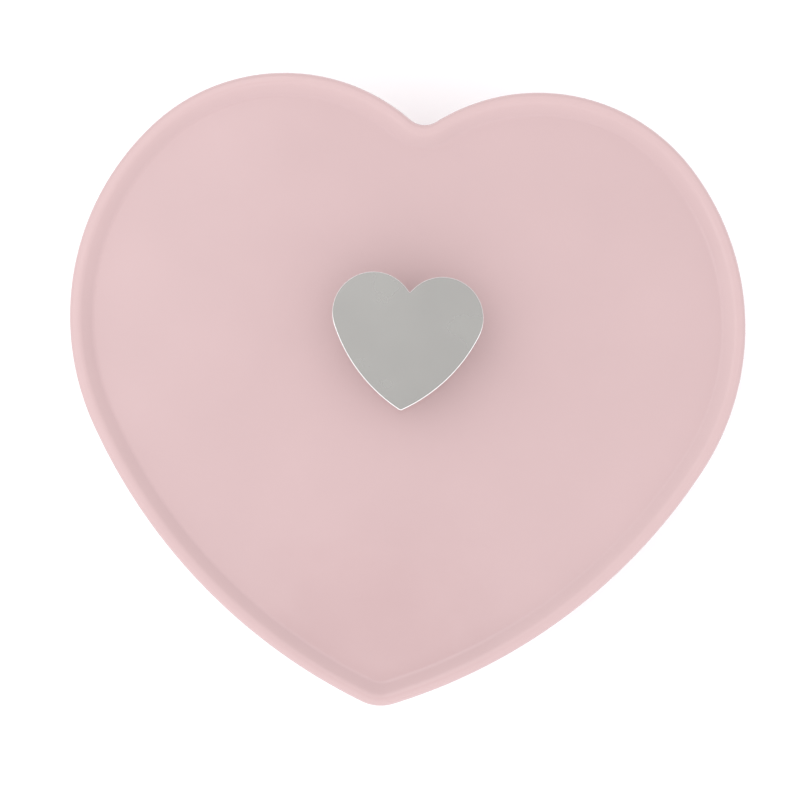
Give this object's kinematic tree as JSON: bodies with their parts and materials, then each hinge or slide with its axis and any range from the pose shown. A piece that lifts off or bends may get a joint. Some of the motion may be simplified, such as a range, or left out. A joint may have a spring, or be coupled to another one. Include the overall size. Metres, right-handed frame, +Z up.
{
  "type": "wind up music box",
  "caption": "Heart-shaped glazed wind-up music box with a lift-off lid, a metal heart knob, a winding key underneath and a pinned-cylinder movement with comb inside.",
  "frame": {"origin": "middle of the lid's outline, at table level under the feet", "axes": "+X to the right across the lobes, +Y from the heart's tip to its lobes, +Z up"},
  "size_m": [0.15, 0.1385, 0.072],
  "materials": {
    "lid_shell": "satin gloss pink glaze",
    "knob_heart": "satin polished metal",
    "knob_stem": "polished metal",
    "knob_washer": "soft rubber",
    "knob_screw": "plated steel",
    "box_body": "satin gloss pink glaze",
    "rubber_feet": "matt rubber",
    "tray_pad": "cream velvet over thin foam",
    "movement_cover": "clear moulded plastic",
    "cover_screws": "plated",
    "movement_screws": "plated steel",
    "bedplate": "cast zinc alloy",
    "comb": "hardened steel",
    "comb_weights": "lead",
    "comb_screws": "plated",
    "spring_housing": "drawn brass",
    "mainspring": "blued spring steel",
    "governor_frame": "cast alloy",
    "governor_screws": "plated",
    "winding_arbor": "turned steel",
    "winding_key": "nickel plated steel",
    "crown_gear": "cut brass",
    "cylinder_drum": "brass drum with steel pins",
    "cylinder_arbor": "turned steel",
    "cylinder_pinion": "cut brass",
    "great_wheel": "cut brass",
    "governor_arbor": "turned steel",
    "governor_pinion": "cut steel",
    "worm_wheel": "moulded ivory plastic",
    "fan_worm": "cut steel",
    "air_brake": "moulded ivory plastic",
    "stop_plunger": "turned steel",
    "brake_pad": "red felt",
    "stop_spring": "spring wire"
  },
  "bodies": {
    "box": {"box_body": "box_body", "rubber_feet": "rubber_feet", "tray_pad": "tray_pad", "movement_cover": "movement_cover", "cover_screws": "cover_screws", "movement_screws": "movement_screws", "bedplate": "bedplate", "comb": "comb", "comb_weights": "comb_weights", "comb_screws": "comb_screws", "spring_housing": "spring_housing", "mainspring": "mainspring", "governor_frame": "governor_frame", "governor_screws": "governor_screws", "stop_spring": "stop_spring"},
    "lid": {"lid_shell": "lid_shell", "knob_heart": "knob_heart", "knob_stem": "knob_stem", "knob_washer": "knob_washer", "knob_screw": "knob_screw"},
    "winder": {"winding_arbor": "winding_arbor", "winding_key": "winding_key", "crown_gear": "crown_gear"},
    "cylinder": {"cylinder_drum": "cylinder_drum", "cylinder_arbor": "cylinder_arbor", "cylinder_pinion": "cylinder_pinion", "great_wheel": "great_wheel"},
    "governor": {"governor_arbor": "governor_arbor", "governor_pinion": "governor_pinion", "worm_wheel": "worm_wheel"},
    "fan": {"fan_worm": "fan_worm", "air_brake": "air_brake"},
    "plunger": {"stop_plunger": "stop_plunger", "brake_pad": "brake_pad"}
  },
  "joints": [
    {"name": "lid_lift", "type": "slide", "parent": "box", "child": "lid", "axis": [0, 0, 1], "range_m": [0, 0.06]},
    {"name": "stop_plunger_slide", "type": "slide", "parent": "box", "child": "plunger", "axis": [0, 0, 1], "range_m": [0, 0.003], "deforming": ["stop_spring"]},
    {"name": "winder_turn", "type": "hinge", "parent": "box", "child": "winder", "pos_m": [0.016, 0.008, 0.01], "axis": [0, 0, 1], "continuous": true},
    {"name": "cylinder_turn", "type": "hinge", "parent": "box", "child": "cylinder", "pos_m": [-0.01, 0.008, 0.03725], "axis": [1, 0, 0], "continuous": true},
    {"name": "governor_turn", "type": "hinge", "parent": "box", "child": "governor", "pos_m": [-0.0257, 0.0156, 0.03155], "axis": [1, 0, 0], "continuous": true},
    {"name": "fan_turn", "type": "hinge", "parent": "box", "child": "fan", "pos_m": [-0.0257, 0.0225, 0.03155], "axis": [0, 0, 1], "continuous": true}
  ],
  "couplings": [
    {"joint": "stop_plunger_slide", "follows": "lid_lift", "ratio": 0.05},
    {"joint": "cylinder_turn", "follows": "winder_turn", "ratio": -4},
    {"joint": "governor_turn", "follows": "winder_turn", "ratio": 15},
    {"joint": "fan_turn", "follows": "winder_turn", "ratio": -300}
  ]
}
